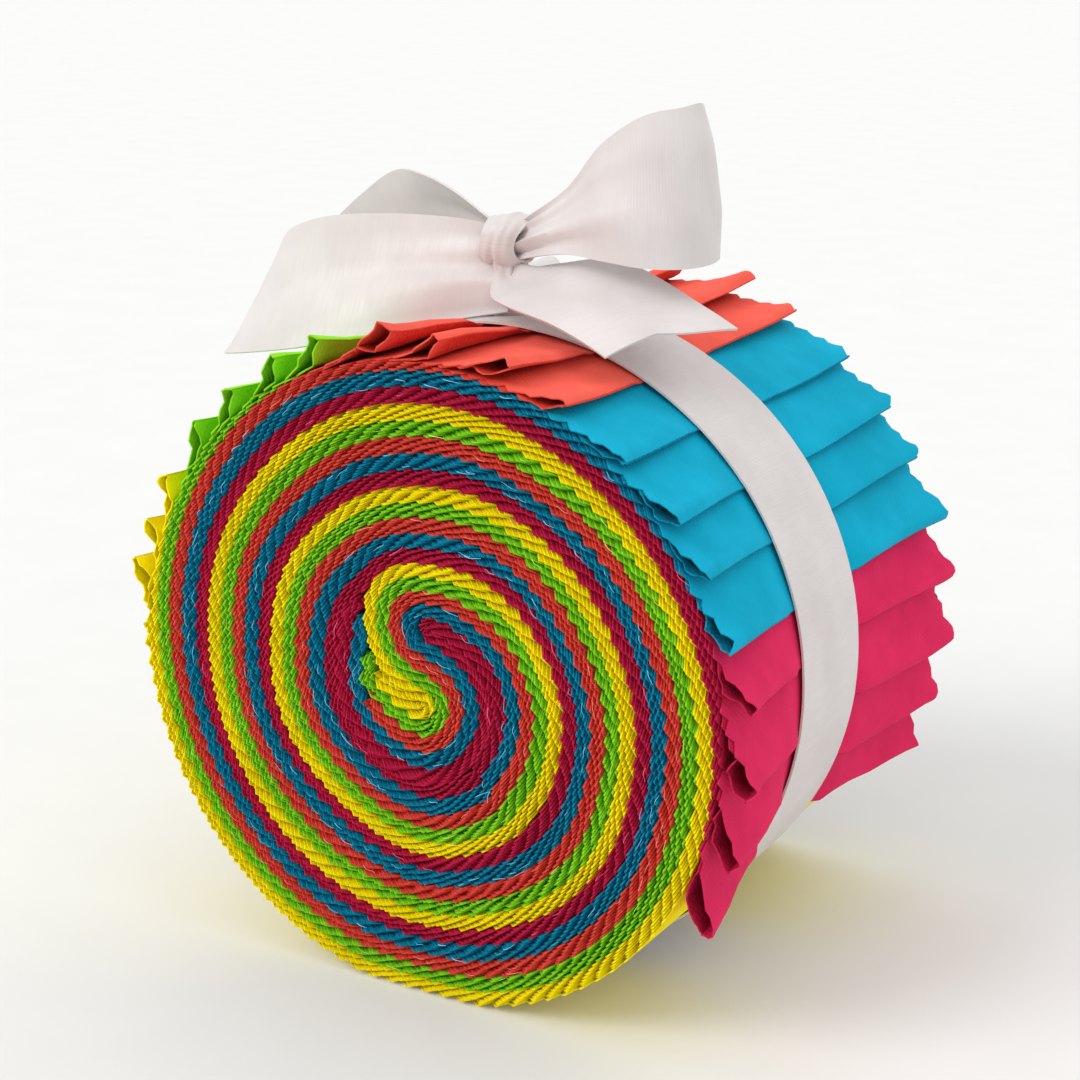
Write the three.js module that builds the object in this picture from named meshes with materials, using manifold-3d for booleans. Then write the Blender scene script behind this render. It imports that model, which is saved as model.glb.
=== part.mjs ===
// A roll of twenty folded fabric strips in five colours, tied with a satin ribbon and a bow.
// Millimetres. X is to the right, Y to the back along the roll's axis, and Z up.
// The origin is on the surface that the roll lies on, under the middle of the whole.
import * as THREE from "three";
import Module from "manifold-3d";

const wasm = await Module();
wasm.setup();

// The strips: each is cut 63.5 wide and folded in half, and all are rolled up together.
const STRIP_WIDTH = 63.5;
const PLY = 0.24;
const STRIP_THICK = 2 * PLY;

// The roll's outer surface is a spiral that grows clockwise, seen from the front.
// Its radius is START_RADIUS at START_ANGLE of winding, and gains one bundle for each turn.
const STRIP_COUNT = 20;
const TURN_PITCH = STRIP_COUNT * STRIP_THICK;
const START_RADIUS = 19.2;
const START_ANGLE = 48;
const OUTER_TURNS = 1080;
const FLAT_WIDTH = 16;
// The roll's axis is this far to the right of the origin, because the bow reaches to the left.
const AXIS_X = 1.0;

// The folded outer end of each strip stands off the roll as a pleat. One row a strip, from the
// outermost inwards: the angle of its end, counter-clockwise from +X seen from the front, and
// how far it stands off the roll at the front and back faces.
const PLEATS = [
  { colour: "yellow", angle: 177.9, front: 0.6, back: 1.6 },
  { colour: "yellow", angle: 166.8, front: 3.3, back: 2.9 },
  { colour: "yellow", angle: 159.1, front: 3.4, back: 3.0 },
  { colour: "yellow", angle: 150.2, front: 3.2, back: 3.3 },
  { colour: "green", angle: 138.8, front: 3.3, back: 2.8 },
  { colour: "green", angle: 128.8, front: 3.2, back: 3.2 },
  { colour: "green", angle: 118.7, front: 3.5, back: 3.0 },
  { colour: "green", angle: 109.1, front: 3.5, back: 3.3 },
  { colour: "coral", angle: 95.6, front: 4.0, back: 3.2 },
  { colour: "coral", angle: 86.6, front: 3.7, back: 3.6 },
  { colour: "coral", angle: 73.9, front: 2.8, back: 3.0 },
  { colour: "coral", angle: 63.7, front: 2.1, back: 2.2 },
  { colour: "blue", angle: 50.7, front: 1.4, back: 1.6 },
  { colour: "blue", angle: 38.4, front: 2.3, back: 2.2 },
  { colour: "blue", angle: 28.4, front: 2.6, back: 2.3 },
  { colour: "blue", angle: 16.7, front: 2.6, back: 3.4 },
  { colour: "pink", angle: 6.5, front: 3.7, back: 3.4 },
  { colour: "pink", angle: -6.6, front: 4.2, back: 4.2 },
  { colour: "pink", angle: -18.9, front: 4.6, back: 4.0 },
  { colour: "pink", angle: -30.3, front: 5.4, back: 4.6 },
];
const FIRST_PLEAT_SPAN = 12;
const PLEAT_STEP = 0.8;
// A pleat's rise: how far along its strip, and the share of its height there.
const PLEAT_RISE = [
  { along: 0, height: 0 },
  { along: 0.4, height: 0.2 },
  { along: 0.72, height: 0.66 },
  { along: 0.92, height: 1 },
  { along: 1, height: 0.85 },
];
const PLEAT_AT_BAND = 0.25;
const PLEAT_FADE_POWER = 1.2;
const PLAIN_STEP = 4;
// Rings of points along the roll, in front of the ribbon and behind it.
const FRONT_RINGS = 5;
const BACK_RINGS = 6;

// The ribbon: a band round the roll, in a shallow groove that it presses into the cloth.
const RIBBON_THICK = 1;
const BAND_WIDTH = 16;
const BAND_Y = -3.8;
const GAP = 0.3;
const BAND_PRESS = 0.7;
const BAND_OFF_FLOOR = 0.2;

// The line between one turn and the next shows on both faces as a shallow groove. It starts at
// the middle of the roll in an S. The points are x and z from the axis.
const SEAM_WIDTH = 0.9;
const SEAM_DEPTH = 0.9;
const SEAM_STEP = 10;
const SEAM_CORE_STEPS = 34;
const SEAM_END_ANGLE = 735;
const SEAM_CORE = [
  { x: -0.9, z: -1.5 },
  { x: -4.3, z: 0.1 },
  { x: -7.3, z: 2.8 },
  { x: -8.7, z: 8.2 },
  { x: -6.0, z: 14.0 },
  { x: 0.2, z: 16.2 },
  { x: 6.2, z: 15.7 },
  { x: 11.4, z: 13.2 },
  { x: 16.2, z: 7.5 },
  { x: 18.4, z: 1.2 },
  { x: 17.4, z: -7.0 },
];

const rad = THREE.MathUtils.degToRad;
const lerp = THREE.MathUtils.lerp;

// The radius of the outer side of the bundle at a winding angle in degrees.
function spiralRadius(winding) {
  return START_RADIUS + (TURN_PITCH * (winding - START_ANGLE)) / 360;
}

const FIRST_END = OUTER_TURNS - PLEATS[0].angle;
const LAST_END = OUTER_TURNS - PLEATS.at(-1).angle;
const TALLEST = spiralRadius(FIRST_END);
const LOWEST = spiralRadius(LAST_END - 360);

// The roll's radius at an angle, without its pleats: the last turn thins out strip by strip.
function woundRadius(angle) {
  const winding = OUTER_TURNS - angle;
  if (winding < FIRST_END) {
    return spiralRadius(winding);
  }
  if (winding > LAST_END) {
    return spiralRadius(winding - 360);
  }
  return lerp(TALLEST, LOWEST, (winding - FIRST_END) / (LAST_END - FIRST_END));
}

const AXIS_HEIGHT = Math.sqrt(woundRadius(-90) ** 2 - (FLAT_WIDTH / 2) ** 2);

// The radius at which a ray at an angle meets a level plane under the axis.
function radiusToLevel(angle, drop) {
  const sine = Math.sin(rad(angle));
  return sine < 0 ? drop / -sine : Infinity;
}

// The angles and pleat heights round the roll, clockwise from the first pleat.
function outline() {
  const points = [];
  let from = PLEATS[0].angle + FIRST_PLEAT_SPAN;
  for (const pleat of PLEATS) {
    const start = from - PLEAT_STEP;
    for (const rise of PLEAT_RISE) {
      const angle = lerp(start, pleat.angle, rise.along);
      points.push({ angle, front: pleat.front * rise.height, back: pleat.back * rise.height });
    }
    from = pleat.angle;
  }
  const end = PLEATS[0].angle + FIRST_PLEAT_SPAN - 360;
  const steps = Math.round((from - end) / PLAIN_STEP);
  for (let i = 0; i < steps; i += 1) {
    const angle = lerp(from - PLEAT_STEP, end, i / steps);
    points.push({ angle, front: 0, back: 0 });
  }
  return points;
}

const OUTLINE = outline();
const FRONT_Y = -STRIP_WIDTH / 2;
const BACK_Y = STRIP_WIDTH / 2;
const GROOVE_FRONT = BAND_Y - BAND_WIDTH / 2 - GAP;
const GROOVE_BACK = BAND_Y + BAND_WIDTH / 2 + GAP;

function evenly(from, to, count) {
  return Array.from({ length: count }, (_, i) => lerp(from, to, i / (count - 1)));
}

// A ring of points round the roll at one place along its axis.
function ring(y, radiusAt) {
  return OUTLINE.map((point) => {
    const radius = radiusAt(point);
    const turn = rad(point.angle);
    return new THREE.Vector3(radius * Math.cos(turn), y, AXIS_HEIGHT + radius * Math.sin(turn));
  });
}

function pleatedRing(y) {
  const inFront = y < BAND_Y;
  const edge = inFront ? GROOVE_FRONT : GROOVE_BACK;
  const face = inFront ? FRONT_Y : BACK_Y;
  const spread = ((y - edge) / (face - edge)) ** PLEAT_FADE_POWER;
  const share = lerp(PLEAT_AT_BAND, 1, spread);
  return ring(y, (point) => {
    const radius = woundRadius(point.angle) + share * (inFront ? point.front : point.back);
    return Math.min(radius, radiusToLevel(point.angle, AXIS_HEIGHT));
  });
}

// A ring that the band lies on, or one of the band's own sides.
function bandRing(y, lift, level) {
  return ring(y, (point) => {
    const radius = woundRadius(point.angle) - BAND_PRESS + lift;
    return Math.min(radius, radiusToLevel(point.angle, AXIS_HEIGHT - level));
  });
}

// Joins a list of points and triangles into a closed mesh with its faces pointing out.
function closedGeometry(points, triangles) {
  let volume = 0;
  for (const [a, b, c] of triangles) {
    const across = new THREE.Vector3().crossVectors(points[b], points[c]);
    volume += points[a].dot(across);
  }
  const outward = volume > 0 ? triangles : triangles.map(([a, b, c]) => [a, c, b]);
  const geometry = new THREE.BufferGeometry().setFromPoints(points);
  geometry.setIndex(outward.flat());
  return geometry;
}

// Two triangles between neighbouring rows of a grid of points.
function quad(a, b, c, d) {
  return [[a, b, c], [a, c, d]];
}

// A closed mesh through rings of equal length, with a flat fan over each end.
function loft(rings) {
  const count = rings[0].length;
  const points = rings.flat();
  const triangles = [];
  for (let r = 0; r + 1 < rings.length; r += 1) {
    for (let i = 0; i < count; i += 1) {
      const next = (i + 1) % count;
      const low = r * count;
      const high = low + count;
      triangles.push(...quad(low + i, low + next, high + next, high + i));
    }
  }
  const ends = [rings[0], rings.at(-1)];
  ends.forEach((end, which) => {
    const middle = points.length;
    const first = which === 0 ? 0 : (rings.length - 1) * count;
    const centre = end.reduce((sum, point) => sum.add(point), new THREE.Vector3());
    points.push(centre.divideScalar(count));
    for (let i = 0; i < count; i += 1) {
      const a = first + i;
      const b = first + ((i + 1) % count);
      triangles.push(which === 0 ? [middle, b, a] : [middle, a, b]);
    }
  });
  return closedGeometry(points, triangles);
}

// A closed hoop between an inner and an outer loop of points on each side.
function hoop(innerFront, outerFront, outerBack, innerBack) {
  const rows = [innerFront, outerFront, outerBack, innerBack];
  const count = innerFront.length;
  const triangles = [];
  rows.forEach((row, r) => {
    const other = ((r + 1) % rows.length) * count;
    for (let i = 0; i < count; i += 1) {
      const next = (i + 1) % count;
      triangles.push(...quad(r * count + i, r * count + next, other + next, other + i));
    }
  });
  return closedGeometry(rows.flat(), triangles);
}

function toSolid(geometry) {
  return new wasm.Manifold(
    new wasm.Mesh({
      numProp: 3,
      vertProperties: new Float32Array(geometry.attributes.position.array),
      triVerts: new Uint32Array(geometry.index.array),
    }),
  );
}

function fromSolid(solid) {
  const mesh = solid.getMesh();
  const geometry = new THREE.BufferGeometry();
  geometry.setAttribute("position", new THREE.BufferAttribute(mesh.vertProperties, 3));
  geometry.setIndex(new THREE.BufferAttribute(mesh.triVerts, 1));
  return geometry;
}

// The line between the turns, from the middle of the roll outwards, as x and z from the axis.
function seamPath() {
  const core = SEAM_CORE.map(({ x, z }) => new THREE.Vector2(x, z));
  const turns = [];
  for (let winding = START_ANGLE; winding <= SEAM_END_ANGLE; winding += SEAM_STEP) {
    const turn = rad(-winding);
    const radius = spiralRadius(winding);
    turns.push(new THREE.Vector2(radius * Math.cos(turn), radius * Math.sin(turn)));
  }
  const start = new THREE.SplineCurve([...core, turns[0]]);
  return [...start.getSpacedPoints(SEAM_CORE_STEPS).slice(0, -1), ...turns];
}

// The solid that the seam takes out of one face.
function seamCutter(face, inward) {
  const path = seamPath();
  const out = face - inward * SEAM_DEPTH;
  const deep = face + inward * SEAM_DEPTH;
  const rings = path.map((point, i) => {
    const before = path[Math.max(i - 1, 0)];
    const after = path[Math.min(i + 1, path.length - 1)];
    const along = after.clone().sub(before).normalize();
    const side = new THREE.Vector2(-along.y, along.x).multiplyScalar(SEAM_WIDTH / 2);
    const left = point.clone().add(side);
    const right = point.clone().sub(side);
    return [
      new THREE.Vector3(left.x, out, AXIS_HEIGHT + left.y),
      new THREE.Vector3(right.x, out, AXIS_HEIGHT + right.y),
      new THREE.Vector3(point.x, deep, AXIS_HEIGHT + point.y),
    ];
  });
  return toSolid(loft(rings));
}

function rollGeometry() {
  const inGroove = (y) => bandRing(y, 0, BAND_OFF_FLOOR + RIBBON_THICK + GAP);
  const rings = [
    ...evenly(FRONT_Y, GROOVE_FRONT, FRONT_RINGS).map(pleatedRing),
    inGroove(GROOVE_FRONT),
    inGroove(GROOVE_BACK),
    ...evenly(GROOVE_BACK, BACK_Y, BACK_RINGS).map(pleatedRing),
  ];
  const body = toSolid(loft(rings));
  const cut = body.subtract(seamCutter(FRONT_Y, 1)).subtract(seamCutter(BACK_Y, -1));
  return fromSolid(cut);
}

function bandGeometry() {
  const front = BAND_Y - BAND_WIDTH / 2;
  const back = BAND_Y + BAND_WIDTH / 2;
  const under = GAP;
  const over = GAP + RIBBON_THICK;
  const underLevel = BAND_OFF_FLOOR + RIBBON_THICK;
  return hoop(
    bandRing(front, under, underLevel),
    bandRing(front, over, BAND_OFF_FLOOR),
    bandRing(back, over, BAND_OFF_FLOOR),
    bandRing(back, under, underLevel),
  );
}

// The knot: a half knot on the band with a rounder one over it.
// One row a level: its height over the roll's axis and its half widths along X and Y.
const KNOT_X = -4.2;
const KNOT_Y = -5;
const KNOT_SIDES = 20;
const KNOT_LEVELS = [
  { height: 40.9, halfX: 3.0, halfY: 3.8 },
  { height: 42.2, halfX: 3.5, halfY: 4.4 },
  { height: 44.2, halfX: 3.2, halfY: 4.0 },
  { height: 46.0, halfX: 2.7, halfY: 3.4 },
  { height: 47.4, halfX: 2.7, halfY: 3.4 },
  { height: 49.4, halfX: 3.1, halfY: 3.8 },
  { height: 51.4, halfX: 2.9, halfY: 3.5 },
  { height: 52.8, halfX: 2.0, halfY: 2.4 },
  { height: 53.3, halfX: 0.9, halfY: 1.1 },
];

function knotGeometry(grow) {
  const last = KNOT_LEVELS.length - 1;
  const rings = KNOT_LEVELS.map((level, row) => {
    const lift = row === 0 ? -grow : row === last ? grow : 0;
    const points = [];
    for (let i = 0; i < KNOT_SIDES; i += 1) {
      const turn = (i / KNOT_SIDES) * 2 * Math.PI;
      const x = KNOT_X + (level.halfX + grow) * Math.cos(turn);
      const y = KNOT_Y + (level.halfY + grow) * Math.sin(turn);
      points.push(new THREE.Vector3(x, y, AXIS_HEIGHT + level.height + lift));
    }
    return points;
  });
  return loft(rings);
}

// The loops and tails are sheets between a low and a high edge. One row a station along the
// ribbon, each edge as x and y, and its height over the roll's axis.
const LEFT_LOOP = [
  { low: [-5.6, -6.4, 46.0], high: [-5.6, -5.0, 50.4] },
  { low: [-8.6, -9.0, 42.8], high: [-8.8, -5.8, 51.4] },
  { low: [-13.4, -12.4, 40.8], high: [-13.4, -6.6, 51.8] },
  { low: [-20.0, -15.2, 38.2], high: [-20.6, -7.6, 51.6] },
  { low: [-28.0, -16.3, 36.2], high: [-28.2, -8.8, 50.8] },
  { low: [-36.0, -15.8, 34.4], high: [-33.6, -8.8, 49.0] },
  { low: [-42.0, -13.3, 33.0], high: [-36.8, -7.0, 46.6] },
  { low: [-44.0, -8.0, 32.4], high: [-37.8, -2.4, 46.2] },
  { low: [-41.8, -2.6, 33.8], high: [-35.8, 1.0, 47.6] },
  { low: [-35.4, 2.4, 36.6], high: [-31.6, 2.8, 51.8] },
  { low: [-27.6, 4.6, 40.2], high: [-26.2, 2.6, 55.4] },
  { low: [-20.0, 5.4, 42.8], high: [-19.8, -0.4, 55.8] },
  { low: [-13.0, 3.2, 45.8], high: [-12.8, -3.0, 54.4] },
  { low: [-5.6, -2.8, 47.8], high: [-5.6, -4.2, 50.8] },
];
const RIGHT_LOOP = [
  { low: [-2.0, -6.2, 48.8], high: [-2.0, -5.6, 51.8] },
  { low: [5.5, -9.2, 49.7], high: [4.6, -6.4, 56.2] },
  { low: [11.5, -10.2, 49.9], high: [9.4, -7.0, 61.6] },
  { low: [17.0, -9.6, 50.3], high: [14.2, -6.0, 65.0] },
  { low: [21.0, -6.6, 50.9], high: [17.4, -3.2, 65.9] },
  { low: [22.4, -1.6, 51.4], high: [18.6, 0.6, 66.2] },
  { low: [20.6, 3.2, 51.0], high: [16.8, 4.0, 64.0] },
  { low: [15.2, 5.4, 49.8], high: [12.0, 5.0, 60.4] },
  { low: [8.8, 4.0, 49.0], high: [7.0, 3.2, 56.0] },
  { low: [-2.0, -3.4, 48.4], high: [-2.0, -4.0, 51.4] },
];
const FRONT_TAIL = [
  { low: [-5.0, -6.6, 45.2], high: [-1.6, -4.8, 46.2] },
  { low: [-4.4, -11.6, 44.6], high: [3.6, -5.4, 47.4] },
  { low: [1.6, -15.0, 44.0], high: [9.8, -3.8, 47.9] },
  { low: [9.6, -18.0, 42.4], high: [15.6, -4.0, 46.4] },
  { low: [17.8, -20.4, 39.6], high: [21.2, -4.4, 43.8] },
  { low: [23.4, -22.2, 36.4], high: [26.2, -4.6, 41.2] },
];
const BACK_TAIL = [
  { low: [-5.6, -4.4, 44.0], high: [-2.8, -3.2, 44.2] },
  { low: [-14.0, 3.0, 42.6], high: [-5.0, 8.2, 44.0] },
  { low: [-20.8, 9.0, 39.0], high: [-10.6, 17.4, 43.2] },
  { low: [-27.0, 14.0, 35.6], high: [-17.0, 25.0, 41.8] },
  { low: [-31.6, 17.4, 32.4], high: [-21.6, 28.6, 40.2] },
];
// A tail's end is cut to two points. One row a place across the ribbon, and the share of the
// tail's length that the cloth reaches there.
const FRONT_CUT = [
  { across: 0, reach: 0.79 },
  { across: 0.46, reach: 0.82 },
  { across: 1, reach: 1 },
];
const BACK_CUT = [
  { across: 0, reach: 1 },
  { across: 0.5, reach: 0.86 },
  { across: 1, reach: 1 },
];
const STRAIGHT_CUT = [
  { across: 0, reach: 1 },
  { across: 1, reach: 1 },
];
const LOOP_STEPS = 44;
const TAIL_STEPS = 16;
const COLUMNS = 6;

// The share of the length that the cloth reaches at a place across it.
function reachAt(cut, across) {
  const next = Math.max(1, cut.findIndex((row) => row.across >= across));
  const a = cut[next - 1];
  const b = cut[next];
  return lerp(a.reach, b.reach, (across - a.across) / (b.across - a.across));
}

// A ribbon sheet of even thickness. Crown is how far its middle stands off the straight line
// between its edges.
function sheetGeometry(stations, cut, steps, crown) {
  const edge = (name) => {
    const points = stations.map((row) => {
      const [x, y, height] = row[name];
      return new THREE.Vector3(x, y, AXIS_HEIGHT + height);
    });
    return new THREE.CatmullRomCurve3(points, false, "centripetal");
  };
  const low = edge("low");
  const high = edge("high");
  const flat = (u, v) => low.getPoint(u).lerp(high.getPoint(u), v);
  const normalAt = (u, v) => {
    const nudge = 0.004;
    const along = flat(Math.min(u + nudge, 1), v).sub(flat(Math.max(u - nudge, 0), v));
    const across = high.getPoint(u).sub(low.getPoint(u));
    return new THREE.Vector3().crossVectors(along, across).normalize();
  };
  const outer = [];
  const inner = [];
  for (let i = 0; i <= steps; i += 1) {
    for (let j = 0; j <= COLUMNS; j += 1) {
      const v = j / COLUMNS;
      const u = (i / steps) * reachAt(cut, v);
      const normal = normalAt(u, v);
      const lift = crown * 4 * v * (1 - v);
      const middle = flat(u, v).addScaledVector(normal, lift);
      outer.push(middle.clone().addScaledVector(normal, RIBBON_THICK / 2));
      inner.push(middle.clone().addScaledVector(normal, -RIBBON_THICK / 2));
    }
  }
  const row = COLUMNS + 1;
  const back = outer.length;
  const triangles = [];
  for (let i = 0; i < steps; i += 1) {
    for (let j = 0; j < COLUMNS; j += 1) {
      const a = i * row + j;
      const [b, c, d] = [a + row, a + row + 1, a + 1];
      triangles.push(...quad(a, b, c, d));
      triangles.push(...quad(back + a, back + d, back + c, back + b));
    }
    const low0 = i * row;
    const high0 = low0 + COLUMNS;
    triangles.push(...quad(low0, back + low0, back + low0 + row, low0 + row));
    triangles.push(...quad(high0 + row, back + high0 + row, back + high0, high0));
  }
  for (let j = 0; j < COLUMNS; j += 1) {
    const last = steps * row + j;
    triangles.push(...quad(j + 1, back + j + 1, back + j, j));
    triangles.push(...quad(last, back + last, back + last + 1, last + 1));
  }
  return closedGeometry([...outer, ...inner], triangles);
}

const grownKnot = toSolid(knotGeometry(GAP));

// A loop or tail, cut back from the knot so that it meets the knot with a small gap.
function ribbonSheet(stations, cut, steps, crown) {
  const sheet = toSolid(sheetGeometry(stations, cut, steps, crown));
  return fromSolid(sheet.subtract(grownKnot));
}

const cotton = new THREE.MeshStandardMaterial({ color: "#e0645a", roughness: 0.9, metalness: 0 });
const satin = new THREE.MeshStandardMaterial({ color: "#f4f1ef", roughness: 0.35, metalness: 0 });

const pieces = [
  { name: "roll", geometry: rollGeometry(), material: cotton },
  { name: "ribbon_band", geometry: bandGeometry(), material: satin },
  { name: "bow_knot", geometry: knotGeometry(0), material: satin },
  {
    name: "bow_loop_left",
    geometry: ribbonSheet(LEFT_LOOP, STRAIGHT_CUT, LOOP_STEPS, 0.5),
    material: satin,
  },
  {
    name: "bow_loop_right",
    geometry: ribbonSheet(RIGHT_LOOP, STRAIGHT_CUT, LOOP_STEPS, 0.5),
    material: satin,
  },
  {
    name: "bow_tail_front",
    geometry: ribbonSheet(FRONT_TAIL, FRONT_CUT, TAIL_STEPS, 0.6),
    material: satin,
  },
  {
    name: "bow_tail_back",
    geometry: ribbonSheet(BACK_TAIL, BACK_CUT, TAIL_STEPS, 0.6),
    material: satin,
  },
];

const group = new THREE.Group();
group.position.x = AXIS_X;
for (const { name, geometry, material } of pieces) {
  const mesh = new THREE.Mesh(geometry, material);
  mesh.name = name;
  group.add(mesh);
}

export default group;
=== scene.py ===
import math
from collections import namedtuple

import bpy
import numpy as np
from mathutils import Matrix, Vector


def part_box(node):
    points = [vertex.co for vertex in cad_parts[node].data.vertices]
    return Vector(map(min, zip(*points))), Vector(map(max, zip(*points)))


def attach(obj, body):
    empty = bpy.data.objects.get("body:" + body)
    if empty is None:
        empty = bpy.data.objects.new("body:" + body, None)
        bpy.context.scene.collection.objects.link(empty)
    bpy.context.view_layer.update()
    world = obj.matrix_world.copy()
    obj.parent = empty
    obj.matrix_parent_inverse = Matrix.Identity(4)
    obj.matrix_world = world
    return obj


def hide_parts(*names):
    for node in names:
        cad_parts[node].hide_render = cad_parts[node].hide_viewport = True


# A roll of twenty folded cotton strips in five colours, tied with a satin ribbon and a bow.
# Sizes are millimetres until a mesh is made. "Roll coordinates" are x, y and height from the
# roll's axis: y runs along the axis, from the front face to the back face. The cut ends of the
# strips are at the roll's middle and their folds are outside. Seen from the front, a winding
# grows clockwise, and an angle counter-clockwise from +X.
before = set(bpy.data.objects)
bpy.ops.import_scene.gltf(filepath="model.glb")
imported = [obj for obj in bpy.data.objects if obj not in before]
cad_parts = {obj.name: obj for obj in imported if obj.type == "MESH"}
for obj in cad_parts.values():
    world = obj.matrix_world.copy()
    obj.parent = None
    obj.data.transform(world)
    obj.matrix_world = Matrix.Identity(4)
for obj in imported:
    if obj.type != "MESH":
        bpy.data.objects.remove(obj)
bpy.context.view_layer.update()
ROLL_LOW, ROLL_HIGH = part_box("roll")
MM = 0.001

# The roll, as in the frame: its strips and their plies, its spiral, its flat spot, the cloth,
# and the ribbon's place. A bundle is all the plies together. Windings are in degrees.
STRIP_COUNT = 20
PLIES = 2 * STRIP_COUNT
PLY = 0.24
BUNDLE = PLIES * PLY
START_RADIUS = 19.2
START_WINDING = 48.0
OUTER_TURNS = 1080.0
AXIS_X = 1.0
FLAT_WIDTH = 16.0
HALF_WIDTH = (ROLL_HIGH.y - ROLL_LOW.y) / MM / 2
CLOTH_THICK = 0.2
BAND_Y = -3.8
BAND_WIDTH = 16.0
BAND_LEVEL = 0.2
RIBBON_THICK = 0.28
# Where the roll lies on the floor: how far beyond the ribbon its dent in the cloth reaches, the
# cloth's gap over the ribbon, and how little the turns further in give way.
DENT_MARGIN = 2.5
DENT_GAP = 0.1
SQUEEZE_POWER = 6
# How steeply down a place has to lie for the floor to reach it, and a radius for no floor.
LEAST_DOWN = 0.05
NO_LIMIT = 1e6

rng = np.random.default_rng(11)

Colour = namedtuple("Colour", "name base deep thread tip end_row")
# One row a colour: the open cloth, the cloth in painted shade and a frayed thread, how much painted
# shade the teeth's tips get, and the row of CORE below where its second leg ends.
COLOURS = [
    Colour("yellow", (248, 230, 0), (180, 156, 0), (244, 230, 60), 0.12, 3.7),
    Colour("green", (144, 222, 34), (14, 104, 0), (190, 232, 100), 0.2, 2.8),
    Colour("coral", (242, 96, 80), (172, 6, 0), (246, 140, 120), 0.6, 4.7),
    Colour("blue", (0, 166, 200), (0, 16, 62), (130, 200, 228), 0.58, 1.2),
    Colour("pink", (218, 38, 90), (124, 0, 10), (232, 100, 136), 0.6, 0.3),
]
PER_COLOUR = STRIP_COUNT // len(COLOURS)
GROUP = BUNDLE / len(COLOURS)

Pleat = namedtuple("Pleat", "angle front back")
# Where each strip's folded end lies, counter-clockwise from +X seen from the front, and how far
# it stands off the roll at the two faces. The first row is the outermost strip.
PLEATS = [
    Pleat(177.9, 0.6, 1.6),
    Pleat(166.8, 3.3, 2.9),
    Pleat(159.1, 3.4, 3.0),
    Pleat(150.2, 3.2, 3.3),
    Pleat(138.8, 3.3, 2.8),
    Pleat(128.8, 3.2, 3.2),
    Pleat(118.7, 3.5, 3.0),
    Pleat(109.1, 3.5, 3.3),
    Pleat(95.6, 4.0, 3.2),
    Pleat(86.6, 3.7, 3.6),
    Pleat(73.9, 2.8, 3.0),
    Pleat(63.7, 2.1, 2.2),
    Pleat(50.7, 1.4, 1.6),
    Pleat(38.4, 2.3, 2.2),
    Pleat(28.4, 2.6, 2.3),
    Pleat(16.7, 2.6, 3.4),
    Pleat(6.5, 3.7, 3.4),
    Pleat(-6.6, 4.2, 4.2),
    Pleat(-18.9, 4.6, 4.0),
    Pleat(-30.3, 5.4, 4.6),
]
# How far back from its fold the first pleat reaches, and how far short of the fold before it
# each other one ends, in degrees. Then the pleat's rise, as places from its start to its fold
# and shares of its height, and the share of its height that it has at and under the ribbon.
FIRST_PLEAT_SPAN = 12.0
PLEAT_STEP = 0.8
RISE_ALONG = (0.0, 0.4, 0.72, 0.92, 1.0)
RISE_HEIGHT = (0.0, 0.2, 0.66, 1.0, 0.85)
PLEAT_AT_BAND = 0.25
PLEAT_UNDER_BAND = 0.03
PLEAT_FADE_POWER = 1.2
# How far outside the ribbon's edge its grip on the pleats begins and ends to give.
GRIP = (0.2, 2.6)
Wave = namedtuple("Wave", "size length each")
# A pleat's height has small waves along the roll: how high they are, as a share, how long, and
# how far each strip's are shifted from the last one's.
PLEAT_RIPPLES = [
    Wave(0.07, 4.7, 2.1),
    Wave(0.05, 2.3, 1.3),
]

Line = namedtuple("Line", "yellow_x yellow_z pink_x pink_z")
# The S at the middle of the roll. Each row is a line across the bundle, from its yellow side to
# its pink side, as x and height from the axis. The rows run from the cut ends outwards.
CORE = [
    Line(-8.4, 10.2, -8.9, 10.6),
    Line(-8.75, 8.2, -10.9, 8.4),
    Line(-8.3, 5.5, -12.2, 5.2),
    Line(-7.3, 2.8, -12.6, 1.2),
    Line(-5.8, 1.4, -12.0, -3.0),
    Line(-4.3, 0.1, -10.4, -6.0),
    Line(-2.4, -0.9, -6.9, -9.4),
    Line(-0.9, -1.5, -3.2, -10.9),
    Line(-0.9, -1.5, 0.6, -11.2),
    Line(-0.9, -1.5, 4.4, -9.6),
    Line(-0.9, -1.5, 7.4, -6.4),
    Line(-0.9, -1.5, 8.9, -2.2),
    Line(-0.9, -1.5, 8.0, 1.9),
    Line(-0.9, -1.5, 5.6, 5.2),
    Line(-0.9, -1.5, 3.0, 7.0),
    Line(-2.4, -0.9, 1.2, 8.1),
    Line(-4.3, 0.1, 0.15, 8.2),
    Line(-6.0, 1.4, 0.15, 8.2),
    Line(-7.3, 2.8, 0.15, 8.2),
    Line(-8.4, 5.4, 0.15, 8.2),
    Line(-8.7, 8.2, 0.15, 8.2),
    Line(-8.0, 11.4, 0.15, 8.2),
    Line(-6.0, 14.0, 0.15, 8.2),
    Line(-3.1, 15.7, 0.15, 8.2),
    Line(0.2, 16.2, 0.15, 8.2),
    Line(3.2, 16.2, 0.3, 8.1),
    Line(6.2, 15.7, 1.6, 7.9),
    Line(11.4, 13.2, 5.2, 5.9),
    Line(14.2, 10.6, 6.9, 4.4),
    Line(16.2, 7.5, 8.0, 2.6),
    Line(18.4, 1.2, 8.9, -0.4),
    Line(17.4, -7.0, 8.2, -4.3),
    Line(12.85, -14.27, 6.1, -7.7),
]
# The rows where the S's second leg ends and where its outside becomes the spiral's inside, then
# the samples a row and a turn, and the rows over which a colour's plies end.
SECOND_LEG_LAST = 9
TURN_INSIDE_FIRST = 21
CORE_SAMPLES = 8
SPIRAL_STEP = 1.5
END_RAMP = 0.7

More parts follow.
